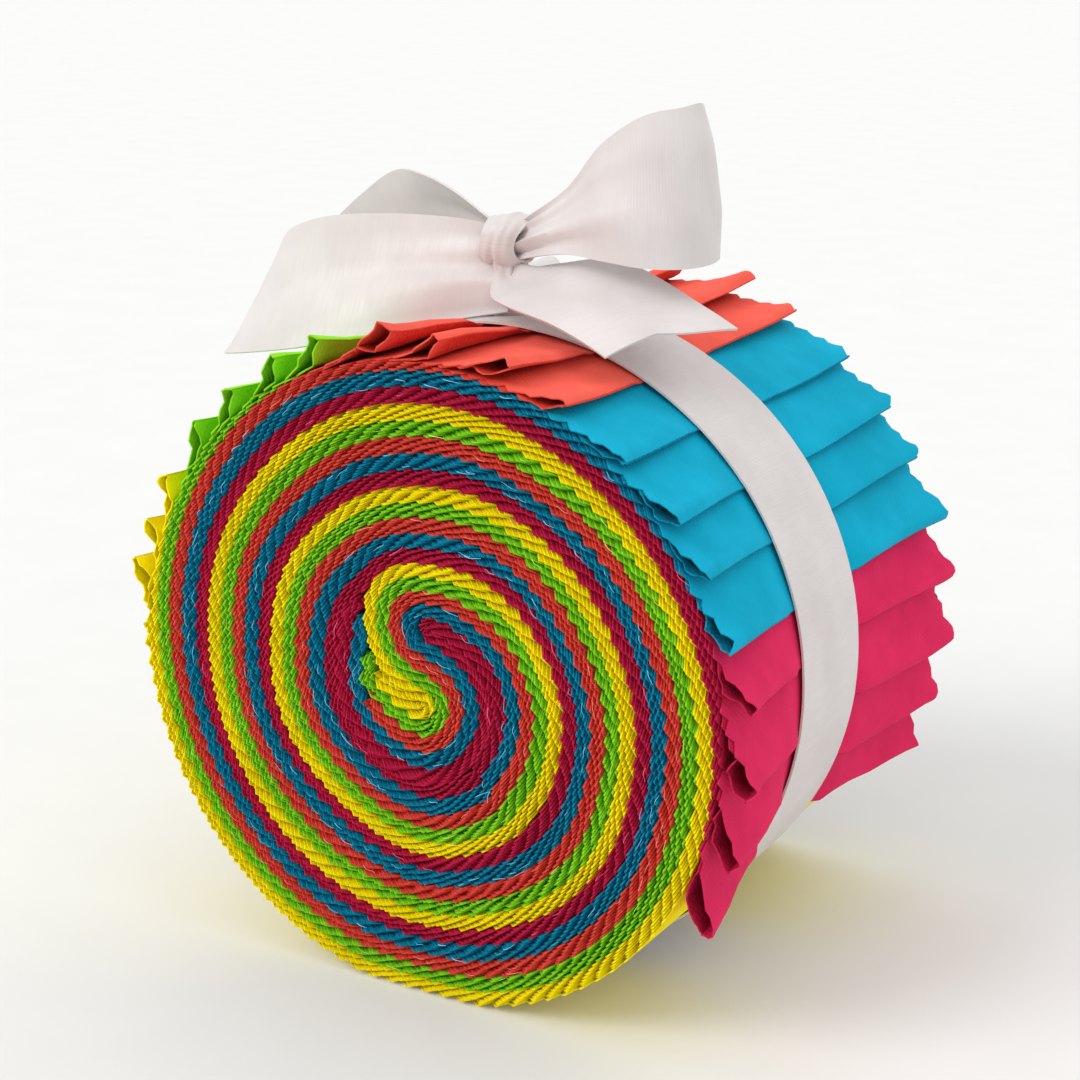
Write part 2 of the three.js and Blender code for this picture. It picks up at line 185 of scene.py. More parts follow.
# How much the section's points are moved, broadly and finely, and the radii where that fades.
UNEVEN_BROAD = 0.26
UNEVEN_FINE = 0.14
UNEVEN_FADE = (27, 37)

# The pinked edges: the teeth's pitch and depth, and how far each ply's teeth run ahead.
TOOTH_PITCH = 2.5
TOOTH_DEPTH = 1.1
TOOTH_LEAST = 0.82
TOOTH_SPREAD = 0.36
TOOTH_STAGGER = 0.25
TOOTH_WANDER = 0.22
WANDER_LENGTH = 21
WANDER_EACH_PLY = 0.45
# How unlike the strips' edges are: how far in one lies, and how it drifts along its strip.
EDGE_UNEVEN = 0.45
EDGE_DRIFT = 0.16
DRIFT_ROWS = 23.0
# The places along the roll of a fine row's points, between the two edges, and the one where the
# cloth's length is measured.
EDGE_INSET = 28.4
FINE_COLUMNS = [-EDGE_INSET, -25.0, -21.0, -17.0, -14.4, -13.1, -12.1, -4.0, 4.5, 5.5, 6.8, 10.0,
                14.0, 19.0, 24.0, EDGE_INSET]
LENGTH_COLUMN = 8
# A strip's rows: where its cut end lies, in rows of CORE before its colour's end, and how far
# apart its rows are, in teeth. The fine ones are in the open and a little way under.
FIRST_ROW_BEFORE = 0.45
FIRST_ROW_SPREAD = 0.35
COARSE_STEP = 0.5
FINE_STEP = 0.25
UNDER_LENGTH = 11.0
HIDDEN_LENGTH = 4.0
# How much of the outermost strip lies open to the air before its fold.
FIRST_SHOWN = 118.0

# The hollow loop at each fold: its length and rows, how far its two sides puff apart as a share
# of the pleat's height, where it closes, and its round nose.
LOOP_LENGTH = 3.6
LOOP_SPREAD = 3.0
LOOP_MARGIN = 3
LOOP_ROWS = 10
LOOP_JOIN = 0.1
LOOP_CLOSES = 0.25
LOOP_OPENING_PEAK = 0.385
PUFF = 0.5
PUFF_SPREAD = 0.22
GAP_LIMIT = 0.85
NOSE_LENGTH = 0.3
NOSE_HEIGHT = 0.22
NOSE_UNDER = 0.4
# How far a fold slips round the roll at its two ends, how far back that reaches, and the wave
# in the fold's line.
FOLD_SKEW = 0.45
SKEW_LENGTH = 12
FOLD_WAVE = 0.25
FOLD_WAVE_LENGTH = 7.1

# The painted shade on the cloth's colour: between two teeth, and inside a fold. The last values are
# how far the change from open to covered cloth reaches, how much less painted shade than a crevice
# a fold's underside gets, and where that begins and ends. Those for folds are for the palest colour.
VALLEY_SHADE = 0.9
INSIDE_SHADE = 0.3
OPEN_FADE = 2
UNDER_LIGHT = 0.75
LOOP_UNDER = 0.6
UNDER_FADE = 1.5


def hermite(x, xs, ys):
    """A smooth curve through the points xs, ys, at x."""
    xs, ys = np.asarray(xs, float), np.asarray(ys, float)
    slopes = np.gradient(ys, xs, axis=0)
    i = np.clip(np.searchsorted(xs, x, side="right") - 1, 0, len(xs) - 2)
    width = xs[i + 1] - xs[i]
    t = np.clip((x - xs[i]) / width, 0, 1)
    shape = (-1,) + (1,) * (ys.ndim - 1)
    t, width = t.reshape(shape), np.asarray(width).reshape(shape)
    return (
        (2 * t**3 - 3 * t**2 + 1) * ys[i]
        + (t**3 - 2 * t**2 + t) * width * slopes[i]
        + (3 * t**2 - 2 * t**3) * ys[i + 1]
        + (t**3 - t**2) * width * slopes[i + 1]
    )


def smooth(x, low, high):
    """A soft step, from 0 at low to 1 at high."""
    t = np.clip((np.asarray(x, float) - low) / (high - low), 0, 1)
    return t * t * (3 - 2 * t)


def spiral_radius(winding):
    return START_RADIUS + BUNDLE * (winding - START_WINDING) / 360


FIRST_END = OUTER_TURNS - PLEATS[0].angle
LAST_END = OUTER_TURNS - PLEATS[-1].angle


def wound_radius(angle):
    """The roll's radius at angles from -180 to 180, without its pleats."""
    winding = OUTER_TURNS - np.asarray(angle, float)
    drop = spiral_radius(LAST_END - 360) - spiral_radius(FIRST_END)
    thinning = spiral_radius(FIRST_END) + drop * (winding - FIRST_END) / (LAST_END - FIRST_END)
    inside = np.where(winding > LAST_END, spiral_radius(winding - 360), thinning)
    return np.where(winding < FIRST_END, spiral_radius(winding), inside)


AXIS_HEIGHT = math.sqrt(wound_radius(-90.0) ** 2 - (FLAT_WIDTH / 2) ** 2)


def bundle_sides():
    """Points along the bundle's yellow side and its pink side, and their row numbers."""
    rows = np.arange(len(CORE))
    fine = np.linspace(0, len(CORE) - 1, (len(CORE) - 1) * CORE_SAMPLES + 1)
    core = hermite(fine, rows, np.array(CORE))
    table = np.array(CORE)
    inside = np.vstack([table[SECOND_LEG_LAST::-1, 2:], table[TURN_INSIDE_FIRST:, :2]])
    inside_winding = -np.degrees(np.unwrap(np.arctan2(inside[:, 1], inside[:, 0])))
    inside_winding += START_WINDING + 360 - inside_winding[-1]
    inside_radius = np.hypot(inside[:, 0], inside[:, 1])
    winding = np.arange(START_WINDING + SPIRAL_STEP, LAST_END + 2 * SPIRAL_STEP, SPIRAL_STEP)
    turn = np.radians(-winding)
    outer = spiral_radius(winding)
    first_turn = np.interp(winding, inside_winding, inside_radius)
    inner = np.where(winding < START_WINDING + 360, first_turn, spiral_radius(winding - 360))
    around = np.stack([np.cos(turn), np.sin(turn)], 1)
    yellow = np.vstack([core[:, :2], outer[:, None] * around])
    pink = np.vstack([core[:, 2:], inner[:, None] * around])
    row = np.concatenate([fine, len(CORE) - 1 + np.arange(1, len(winding) + 1)])
    windings = np.concatenate([np.full(len(fine), -1.0), winding])
    return yellow, pink, row, windings


YELLOW_SIDE, PINK_SIDE, ROW, WINDING = bundle_sides()


def uneven(points):
    """Moves points of the section a little, all together, so that the turns aren't perfect."""
    x, z = points[..., 0], points[..., 1]
    fade = 1 - smooth(np.hypot(x, z), *UNEVEN_FADE)
    # Each wave has its own length and shift, so that nothing repeats.
    dx = UNEVEN_BROAD * np.sin(x / 5.7 + 1.3) * np.cos(z / 6.9 - 0.4)
    dx += UNEVEN_FINE * np.sin(z / 2.9 + 0.5)
    dz = UNEVEN_BROAD * np.cos(x / 6.3 - 0.8) * np.sin(z / 5.1 + 2.0)
    dz += UNEVEN_FINE * np.sin(x / 3.1 - 1.1)
    return points + np.stack([dx * fade, dz * fade], -1)


def ply_points(ply):
    """The section of one ply, along the whole bundle. Ply 0 is the outermost yellow one."""
    group = int(ply * PLY / GROUP)
    share = [smooth(ROW, c.end_row - END_RAMP, c.end_row) for c in COLOURS]
    beyond = sum(share[group + 1:]) if group + 1 < len(COLOURS) else 0
    within = (group + 1) - (ply + 0.5) * PLY / GROUP
    offset = (beyond + within) / np.maximum(sum(share), within)
    sides = YELLOW_SIDE - PINK_SIDE
    return uneven(PINK_SIDE + sides * offset[:, None])


PLY_POINTS = [ply_points(ply) for ply in range(PLIES)]


def along(points):
    """The distance along a line of points, from its first."""
    steps = np.linalg.norm(np.diff(points, axis=0), axis=1)
    return np.concatenate([[0], np.cumsum(steps)])


# Lengths along each ply, and along the middle ply of each colour, where its teeth are set out.
PLY_LENGTH = [along(points) for points in PLY_POINTS]
GROUP_LENGTH = [PLY_LENGTH[int((g + 0.5) * PLIES / len(COLOURS))] for g in range(len(COLOURS))]


def tooth(phase):
    """0 at a tooth's tip and 1 between two teeth."""
    return np.abs((phase + 0.5) % 1 - 0.5) * 2


def face_share(y):
    """How much of a pleat's height it has at a place along the roll."""
    outside = np.abs(y - BAND_Y) - BAND_WIDTH / 2
    reach = HALF_WIDTH - BAND_WIDTH / 2 + np.sign(y - BAND_Y) * -BAND_Y
    spread = np.clip(outside / reach, 0, 1) ** PLEAT_FADE_POWER
    free = PLEAT_AT_BAND + (1 - PLEAT_AT_BAND) * spread
    return PLEAT_UNDER_BAND + (free - PLEAT_UNDER_BAND) * smooth(outside, *GRIP)


def floor_radius(angle, level):
    """How far from the axis a level below it is, or no limit where it isn't reached."""
    down = -np.sin(np.radians(angle))
    return np.where(down > LEAST_DOWN, level / np.maximum(down, LEAST_DOWN), NO_LIMIT)


def settle(x, y, z):
    """Flattens the roll where it lies on the floor, a little more under the ribbon."""
    radius, angle = np.hypot(x, z), np.degrees(np.arctan2(z, x))
    outer = wound_radius(angle)
    under = smooth(np.abs(y - BAND_Y), BAND_WIDTH / 2 + DENT_MARGIN, BAND_WIDTH / 2)
    level = AXIS_HEIGHT - under * (BAND_LEVEL + RIBBON_THICK + DENT_GAP)
    limit = floor_radius(angle, level)
    squeeze = np.clip(1 - limit / outer, 0, 1) * (radius / outer) ** SQUEEZE_POWER
    return x * (1 - squeeze), z * (1 - squeeze)


def new_object(name, points, faces, uv=None, shade=None, material=None, sharp=50):
    """A smooth mesh object from points in roll coordinates and millimetres.

    uv is flat coordinates of the cloth, also in millimetres, and shade is how much painted shade
    each point's colour gets. Edges sharper than so many degrees stay sharp.
    """
    placed = np.asarray(points, float) + (AXIS_X, 0, AXIS_HEIGHT)
    mesh = bpy.data.meshes.new(name)
    mesh.from_pydata((placed * MM).tolist(), [], faces)
    if uv is not None:
        corners = np.zeros(len(mesh.loops), np.int32)
        mesh.loops.foreach_get("vertex_index", corners)
        layer = mesh.uv_layers.new(name="cloth")
        layer.data.foreach_set("uv", (np.asarray(uv)[corners] * MM).astype(np.float32).ravel())
    if shade is not None:
        attribute = mesh.attributes.new("shade", "FLOAT", "POINT")
        attribute.data.foreach_set("value", np.asarray(shade, np.float32))
    mesh.validate()
    mesh.polygons.foreach_set("use_smooth", np.ones(len(mesh.polygons), bool))
    mesh.set_sharp_from_angle(angle=math.radians(sharp))
    if material is not None:
        mesh.materials.append(material)
    obj = bpy.data.objects.new(name, mesh)
    bpy.context.scene.collection.objects.link(obj)
    return obj


Rows = namedtuple("Rows", "place fine to_fold side tooth")


def strip_reach(i):
    """How far a strip's pleat reaches back from its fold, and how much of it lies in the open."""
    angle = PLEATS[i].angle
    before = PLEATS[i - 1].angle - PLEAT_STEP if i else angle + FIRST_PLEAT_SPAN
    span = math.radians(before - angle) * spiral_radius(OUTER_TURNS - angle)
    return span, span if i else FIRST_SHOWN


def tooth_phase(group, ply):
    """How many teeth a ply has, from its first row to each other one."""
    length = GROUP_LENGTH[group]
    phase = length / TOOTH_PITCH + TOOTH_STAGGER * (ply % (2 * PER_COLOUR))
    return phase + TOOTH_WANDER * np.sin(length / WANDER_LENGTH + WANDER_EACH_PLY * ply + group)


def ply_rows(i, side, shown, loop):
    """The rows of one of a strip's two plies, from its inner cut end to its fold.

    Each row has its place on the bundle (a row number), whether it is fine, how far it is from
    the fold, its side of the fold (0 outside, 1 inside), and how far it is into a tooth.
    """
    group, ply = i // PER_COLOUR, 2 * i + side
    length = PLY_LENGTH[ply]
    fold = np.interp(OUTER_TURNS - PLEATS[i].angle, WINDING, ROW)
    to_fold = np.interp(fold, ROW, length) - length
    phase = tooth_phase(group, ply)
    first = COLOURS[group].end_row - FIRST_ROW_BEFORE + FIRST_ROW_SPREAD * rng.random()
    fine_length = UNDER_LENGTH if side else max(shown + HIDDEN_LENGTH, loop + LOOP_MARGIN)
    first, fine_from, loop_from = np.interp(
        [first, np.interp(-fine_length, -to_fold, ROW), np.interp(-loop, -to_fold, ROW)], ROW, phase
    )
    coarse = np.arange(math.ceil(first / COARSE_STEP), fine_from / COARSE_STEP) * COARSE_STEP
    fine = np.arange(coarse[-1] + COARSE_STEP, loop_from - LOOP_JOIN, FINE_STEP)
    near = np.linspace(1, 0, LOOP_ROWS + 1)[: LOOP_ROWS + 1 - side] ** 2 * loop
    place = np.concatenate(
        [np.interp(coarse, phase, ROW), np.interp(fine, phase, ROW), np.interp(-near, -to_fold, ROW)]
    )
    distance = np.interp(place, ROW, to_fold)
    distance[-len(near):] = near
    is_fine = np.arange(len(place)) >= len(coarse)
    return Rows(
        place, is_fine, distance, np.full(len(place), side), tooth(np.interp(place, ROW, phase))
    )


def strip_rows(i, shown, loop):
    """One strip's rows from its inner cut end, out to its fold and back in again."""
    out = ply_rows(i, 0, shown, loop)
    back = ply_rows(i, 1, shown, loop)
    return Rows(*(np.concatenate([a, b[::-1]]) for a, b in zip(out, back)))


def strip_section(i, rows, loop):
    """The strip's line in the roll's section. Its two plies come together at the fold."""
    section = np.zeros((len(rows.place), 2))
    for side in (0, 1):
        here = rows.side == side
        apart = smooth(rows.to_fold[here], 0, LOOP_CLOSES * loop)
        for axis in (0, 1):
            first = np.interp(rows.place[here], ROW, PLY_POINTS[2 * i][:, axis])
            own = np.interp(rows.place[here], ROW, PLY_POINTS[2 * i + side][:, axis])
            section[here, axis] = first + (own - first) * apart
    return section


def strip_columns(rows):
    """The places along the roll at each row: the two pinked edges and the columns between."""
    count = len(rows.place)
    depth = TOOTH_DEPTH * (TOOTH_LEAST + TOOTH_SPREAD * rng.random(count))
    front_in, back_in = EDGE_UNEVEN * rng.random(2)
    drift = EDGE_DRIFT * np.sin(np.arange(count) / DRIFT_ROWS + 6 * rng.random())
    y = np.zeros((count, len(FINE_COLUMNS) + 2))
    y[:, 1:-1] = FINE_COLUMNS
    y[:, 0] = -(HALF_WIDTH - front_in - EDGE_DRIFT - drift - depth * rows.tooth)
    y[:, -1] = HALF_WIDTH - back_in - EDGE_DRIFT + drift - depth * rows.tooth
    return y


def pleat_lift(i, y, rows, span, loop):
    """How far the cloth stands off its place in the roll, with the hollow loop at its fold."""
    pleat = PLEATS[i]
    height = np.where(y < BAND_Y, pleat.front, pleat.back) * face_share(y)
    ripple = 1
    for wave in PLEAT_RIPPLES:
        ripple = ripple + wave.size * np.sin(y / wave.length + wave.each * i)
    rise = hermite(np.clip(1 - rows.to_fold / span, 0, 1), RISE_ALONG, RISE_HEIGHT)
    rise = np.where(rows.to_fold < span, np.clip(rise, 0, None), 0)
    lift = rise[:, None] * height * ripple

    # The loop's two sides part from each other behind a round nose.
    along_loop = np.clip(rows.to_fold / loop, 0, 1)
    opening = np.sqrt(along_loop) * (1 - along_loop) / LOOP_OPENING_PEAK
    puff_front, puff_back = PUFF + PUFF_SPREAD * rng.random(2)
    puff = np.where(y < BAND_Y, puff_front, puff_back) * height
    inside = rows.side[:, None]
    lift = lift - np.minimum(opening[:, None] * puff, GAP_LIMIT * lift) * inside
    nose = (1 - smooth(rows.to_fold, 0, NOSE_LENGTH * loop)) * NOSE_HEIGHT
    return lift - nose[:, None] * puff * np.where(inside > 0, -NOSE_UNDER, 1)


def fold_shift(i, y, rows):
    """How far the cloth near a fold slips round the roll, so that the fold isn't straight."""
    skew = (2 * FOLD_SKEW * rng.random() - FOLD_SKEW) / HALF_WIDTH
    near = 1 - smooth(rows.to_fold, 0, SKEW_LENGTH)
    return near[:, None] * (skew * y + FOLD_WAVE * np.sin(y / FOLD_WAVE_LENGTH + i))


def cloth_sides(x, y, z):
    """The two faces of the cloth, either side of its middle."""
    dx, dz = np.gradient(x, axis=0), np.gradient(z, axis=0)
    size = np.maximum(np.hypot(dx, dz), 1e-9)
    nx, nz = -dz / size * CLOTH_THICK / 2, dx / size * CLOTH_THICK / 2
    return np.stack([x + nx, y, z + nz], -1), np.stack([x - nx, y, z - nz], -1)


def strip_shades(group, rows, columns, shown, loop):
    """The painted shade on the cloth's two faces, from 0 in the open to 1 in a crevice."""
    tip = COLOURS[group].tip
    # Painted shade: full between teeth and on hidden cloth, less at the teeth's tips, none on cloth
    # in the open, less on a fold's underside, and held between two limits inside a fold.
    crevice = np.ones((len(rows.place), columns))
    crevice[:, 0] = crevice[:, -1] = tip + (VALLEY_SHADE - tip) * rows.tooth
    in_open = (1 - smooth(rows.to_fold, shown, shown + OPEN_FADE)) * (rows.side == 0) * rows.fine
    near = 1 - smooth(rows.to_fold, LOOP_UNDER * loop, loop + UNDER_FADE)
    under = near * (rows.side == 1) * UNDER_LIGHT * (1 - tip)
    inside = INSIDE_SHADE + (1 - INSIDE_SHADE) * tip
    in_loop = np.where(rows.fine[:, None], np.clip(crevice, INSIDE_SHADE, inside), crevice)
    return crevice * (1 - in_open - under)[:, None], in_loop


def strip_faces(fine, start):
    """The faces of a closed strip, whose rows have all its columns or only its edges'."""
    total = start[-1]
    faces = []
    for r in range(len(fine) - 1):
        a, b = start[r], start[r + 1]
        last, end = b - 1, start[r + 2] - 1
        if fine[r] == fine[r + 1]:
            pairs = [([a + c, a + c + 1], [b + c, b + c + 1]) for c in range(last - a)]
        else:
            middle = (list(range(a + 1, last)), list(range(b + 1, end)))
            pairs = [([a, a + 1], [b, b + 1]), middle, ([last - 1, last], [end - 1, end])]
        for low, high in pairs:
            faces.append(low[::-1] + high)
            faces.append([total + v for v in low + high[::-1]])
        faces.append([a, total + a, total + b, b][::-1])
        faces.append([last, end, total + end, total + last][::-1])
    for c in range(start[1] - 1):
        faces.append([c, c + 1, total + c + 1, total + c])
    for c in range(start[-2], total - 1):
        faces.append([c, c + 1, total + c + 1, total + c][::-1])
    return faces


def strip_object(i, materials):
    """One strip as a closed folded sheet, the points along its two pinked edges, and its rows."""
    group = i // PER_COLOUR
    span, shown = strip_reach(i)
    loop = LOOP_LENGTH + LOOP_SPREAD * rng.random()
    rows = strip_rows(i, shown, loop)
    section = strip_section(i, rows, loop)
    y = strip_columns(rows)
    lift = pleat_lift(i, y, rows, span, loop)
    shift = fold_shift(i, y, rows)
    out = section / np.hypot(section[:, 0], section[:, 1])[:, None]
    x = section[:, 0, None] + out[:, 0, None] * lift + out[:, 1, None] * shift
    z = section[:, 1, None] + out[:, 1, None] * lift - out[:, 0, None] * shift
    x, z = settle(x, y, z)
    outer, inner = cloth_sides(x, y, z)
    length = along(np.stack([x[:, LENGTH_COLUMN], z[:, LENGTH_COLUMN]], 1))
    outer_shade, inner_shade = strip_shades(group, rows, y.shape[1], shown, loop)

    # Fine rows use every column, and the others only the two at each edge.
    every = np.arange(y.shape[1])
    used = [every if f else every[[0, 1, -2, -1]] for f in rows.fine]
    start = [0, *np.cumsum([len(u) for u in used]).tolist()]
    lines = np.repeat(np.arange(len(used)), np.diff(start))
    picks = np.concatenate(used)
    flat = np.stack([length[lines], y[lines, picks]], 1)
    points = np.vstack([outer[lines, picks], inner[lines, picks]])
    shade = np.concatenate([outer_shade[lines, picks], inner_shade[lines, picks]])
    name = f"strip_{COLOURS[group].name}_{i % PER_COLOUR + 1}"
    faces = strip_faces(rows.fine, start)
    strip = new_object(name, points, faces, np.vstack([flat, flat]), shade, materials[group])
    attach(strip, "root")
    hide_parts("roll")
    return strip, outer[:, [0, -1]], rows


def linear(colour):
    """Linear colour from 0 to 255 display values."""
    c = np.array(colour, float) / 255
    value = np.where(c <= 0.04045, c / 12.92, ((c + 0.055) / 1.055) ** 2.4)
    return (*value.tolist(), 1.0)


class Nodes:
    """Short calls for building a material's nodes."""

    def __init__(self, name):
        self.material = bpy.data.materials.new(name)
        self.material.use_nodes = True
        self.tree = self.material.node_tree
        self.shader = self.tree.nodes["Principled BSDF"]

    def add(self, kind, values=None, **settings):
        node = self.tree.nodes.new(kind)
        for key, value in settings.items():
            setattr(node, key, value)
        for key, value in (values or {}).items():
            if isinstance(value, bpy.types.NodeSocket):
                self.tree.links.new(value, node.inputs[key])
            else:
                node.inputs[key].default_value = value
        return node

    def math(self, operation, a, b=0.0):
        return self.add("ShaderNodeMath", {0: a, 1: b}, operation=operation).outputs[0]

    def mix(self, factor, a, b):
        node = self.add("ShaderNodeMix", data_type="RGBA")
        for socket, value in zip((0, 6, 7), (factor, a, b)):
            if isinstance(value, bpy.types.NodeSocket):
                self.tree.links.new(value, node.inputs[socket])
            else:
                node.inputs[socket].default_value = value
        return node.outputs[2]

    def noise(self, scale, detail, vector):
        values = {"Scale": scale, "Detail": detail, "Vector": vector}
        return self.add("ShaderNodeTexNoise", values).outputs["Fac"]

    def ramp(self, value, low, high, to_low=0.0, to_high=1.0):
        values = {0: value, 1: low, 2: high, 3: to_low, 4: to_high}
        return self.add("ShaderNodeMapRange", values).outputs[0]

    def bump(self, height, strength, distance, normal=None):
        values = {"Height": height, "Strength": strength, "Distance": distance}
        if normal is not None:
            values["Normal"] = normal
        return self.add("ShaderNodeBump", values).outputs[0]

    def connect(self, socket, name):
        self.tree.links.new(socket, self.shader.inputs[name])


# The pitch of the cotton's threads and the satin's ribs, and the scales of the noise, a metre.
WEAVE_PITCH = 0.4
RIB_PITCH = 0.35
WEAVE_WANDER = 900.0
COTTON_CLOUDS = 160.0
COTTON_FIBRES = 2600.0
SATIN_CLOUDS = 120.0
SATIN_SLUBS = (2600.0, 180.0, 1.0)
THREAD_SPOTS = 1500.0
# How much darker and paler than its colour the open cotton is in places, and the satin's tones.
COTTON_WORN = 0.91
COTTON_PALE = 1.04
SATIN_WHITE = (213, 207, 205)
SATIN_WARM = (201, 193, 191)


def weave(nodes):
    """A plain weave's height over the cloth, from its own flat coordinates."""
    flat = nodes.add("ShaderNodeUVMap", uv_map="cloth").outputs[0]
    wander = nodes.noise(WEAVE_WANDER, 2.0, flat)
    parts = nodes.add("ShaderNodeSeparateXYZ", {0: flat})
    turns = math.pi / (WEAVE_PITCH * MM)
    waves = []
    for axis in (0, 1):
        place = nodes.math("MULTIPLY", parts.outputs[axis], turns)
        place = nodes.math("ADD", place, nodes.math("MULTIPLY", wander, 1.1))
        waves.append(nodes.math("SINE", place))
    return nodes.math("MULTIPLY", waves[0], waves[1])


def cotton(colour):
    """Woven cotton, with painted shade mixed into its colour where its points' shade attribute says
    so.
    """
    nodes = Nodes(f"cotton_{colour.name}")
    threads = weave(nodes)
    solid = nodes.add("ShaderNodeTexCoord").outputs["Object"]
    shade = nodes.add("ShaderNodeAttribute", attribute_name="shade").outputs["Fac"]
    cloudy = nodes.noise(COTTON_CLOUDS, 3.0, solid)
    fibre = nodes.noise(COTTON_FIBRES, 2.0, solid)
    base = linear(colour.base)
    worn = tuple(COTTON_WORN * c for c in base[:3]) + (1.0,)
    pale = tuple(min(1.0, COTTON_PALE * c + 0.003) for c in base[:3]) + (1.0,)
    surface = nodes.mix(nodes.ramp(cloudy, 0.35, 0.65), worn, pale)
    surface = nodes.mix(nodes.ramp(threads, -1, 1, 0.0, 0.2), surface, worn)
    # Painted shade: a darker colour, flecked with fibres, mixed over the open cloth by the shade
    # attribute.
    deep = nodes.mix(nodes.ramp(fibre, 0.3, 0.7), linear(colour.deep), base)
    deep = nodes.mix(0.45, linear(colour.deep), deep)
    nodes.connect(nodes.mix(shade, surface, deep), "Base Color")
    fuzz = nodes.bump(fibre, 0.25, 0.00012)
    nodes.connect(nodes.bump(threads, 0.22, 0.00008, fuzz), "Normal")
    nodes.shader.inputs["Roughness"].default_value = 0.86
    nodes.shader.inputs["Specular IOR Level"].default_value = 0.1
    nodes.shader.inputs["Sheen Weight"].default_value = 0.04
    nodes.shader.inputs["Sheen Roughness"].default_value = 0.5
    nodes.shader.inputs["Sheen Tint"].default_value = linear(colour.thread)
    return nodes.material


def satin():
    """White satin with fine ribs across it and faint slubs."""
    nodes = Nodes("satin_ribbon")
    flat = nodes.add("ShaderNodeUVMap", uv_map="cloth").outputs[0]
    solid = nodes.add("ShaderNodeTexCoord").outputs["Object"]
    parts = nodes.add("ShaderNodeSeparateXYZ", {0: flat})
    ribs = nodes.math("MULTIPLY", parts.outputs[0], 2 * math.pi / (RIB_PITCH * MM))
    ribs = nodes.math("SINE", ribs)
    cloudy = nodes.noise(SATIN_CLOUDS, 2.0, solid)
    slubs = nodes.add("ShaderNodeMapping", {"Vector": flat, "Scale": SATIN_SLUBS})
    streak = nodes.noise(1.0, 2.0, slubs.outputs[0])
    white, warm = linear(SATIN_WHITE), linear(SATIN_WARM)
    tone = nodes.mix(nodes.ramp(cloudy, 0.3, 0.7), white, warm)
    nodes.connect(nodes.mix(nodes.ramp(streak, 0.35, 0.65, 0.0, 0.25), tone, warm), "Base Color")
    nodes.connect(nodes.ramp(streak, 0.3, 0.7, 0.36, 0.5), "Roughness")
    soft = nodes.bump(cloudy, 0.15, 0.0006)
    nodes.connect(nodes.bump(ribs, 0.12, 0.00005, soft), "Normal")
    nodes.shader.inputs["Sheen Weight"].default_value = 0.2
    nodes.shader.inputs["Subsurface Weight"].default_value = 0.12
    nodes.shader.inputs["Subsurface Radius"].default_value = (0.002, 0.0018, 0.0016)
    return nodes.material


def thread_material(colour):
    nodes = Nodes(f"frayed_{colour.name}")
    solid = nodes.add("ShaderNodeTexCoord").outputs["Object"]
    spots = nodes.noise(THREAD_SPOTS, 2.0, solid)
    pale, base = linear(colour.thread), linear(colour.base)
    nodes.connect(nodes.mix(nodes.ramp(spots, 0.35, 0.7, 0.0, 0.6), pale, base), "Base Color")
    nodes.connect(nodes.bump(spots, 0.3, 0.00005), "Normal")
    nodes.shader.inputs["Roughness"].default_value = 0.8
    nodes.shader.inputs["Sheen Weight"].default_value = 0.3
    return nodes.material


# The frayed threads: how each is divided, how many there are of each colour, and how near a
# tooth's tip one can start.
THREAD_SIDES = 3
THREAD_POINTS = 6
THREADS_EACH = {"yellow": 20, "green": 60, "coral": 80, "blue": 260, "pink": 60}
FRAY_BELOW = 0.3
THREAD_LENGTH = 0.7
THREAD_LENGTH_SPREAD = 1.6
THREAD_LIFT = 0.1
THREAD_LIFT_SPREAD = 0.3
THREAD_BEND = 0.5
THREAD_RADIUS = 0.035
THREAD_RADIUS_SPREAD = 0.02
THREAD_TAPER = 0.5
# How many times as long as its arch over the face a thread is.
THREAD_ARCH = 1.3

Fray = namedtuple("Fray", "start direction sign")


def thread_path(fray, side):
    """A short thread's middle line, from a tooth's tip. It rises off the face and bends."""
    length = THREAD_LENGTH + THREAD_LENGTH_SPREAD * rng.random()
    lifted = THREAD_LIFT + THREAD_LIFT_SPREAD * rng.random()
    bend = (rng.random(2)[0] - 0.5) * THREAD_BEND
    path = []
    for q in np.linspace(0, 1, THREAD_POINTS):
        arch = math.sin(math.pi * min(q * THREAD_ARCH, 1))
        out = np.array([0, fray.sign * lifted * arch, 0])
        path.append(fray.start + fray.direction * length * q + side * bend * length * q * q + out)
    return path


def thread_object(colour, frays, material):
    """Short frayed threads that lie along the pinked edges."""
    points, faces = [], []
    for fray in frays:
        side = np.array([-fray.direction[2], 0, fray.direction[0]])
        path = thread_path(fray, side)
        radius = THREAD_RADIUS + THREAD_RADIUS_SPREAD * rng.random()
        base = len(points)
        for j, point in enumerate(path):
            thin = radius * (1 - THREAD_TAPER * (j / (THREAD_POINTS - 1)) ** 2)
            for s in range(THREAD_SIDES):
                turn = 2 * math.pi * s / THREAD_SIDES
                around = side * math.cos(turn) + np.array([0, math.sin(turn), 0])
                points.append(point + thin * around)
        for ring in range(base, len(points) - THREAD_SIDES, THREAD_SIDES):
            for s in range(THREAD_SIDES):
                a, b = ring + s, ring + (s + 1) % THREAD_SIDES
                faces.append([a, b, b + THREAD_SIDES, a + THREAD_SIDES])
        faces.append([base + s for s in range(THREAD_SIDES)][::-1])
        faces.append([len(points) - THREAD_SIDES + s for s in range(THREAD_SIDES)])
    threads = new_object(f"frayed_threads_{colour.name}", points, faces, material=material)
    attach(threads, "root")
    return threads


def strip_frays(tips, rows):
    """Where threads can start on a strip: at its teeth's tips, on both faces of the roll."""
    frays = []
    for row in np.flatnonzero((rows.tooth < FRAY_BELOW) & ~rows.fine)[2:-2]:
        for edge, sign in ((0, -1), (1, 1)):
            direction = tips[row + 1, edge] - tips[row, edge]
            direction[1] = 0
            frays.append(Fray(tips[row, edge], direction / np.linalg.norm(direction), sign))
    return frays


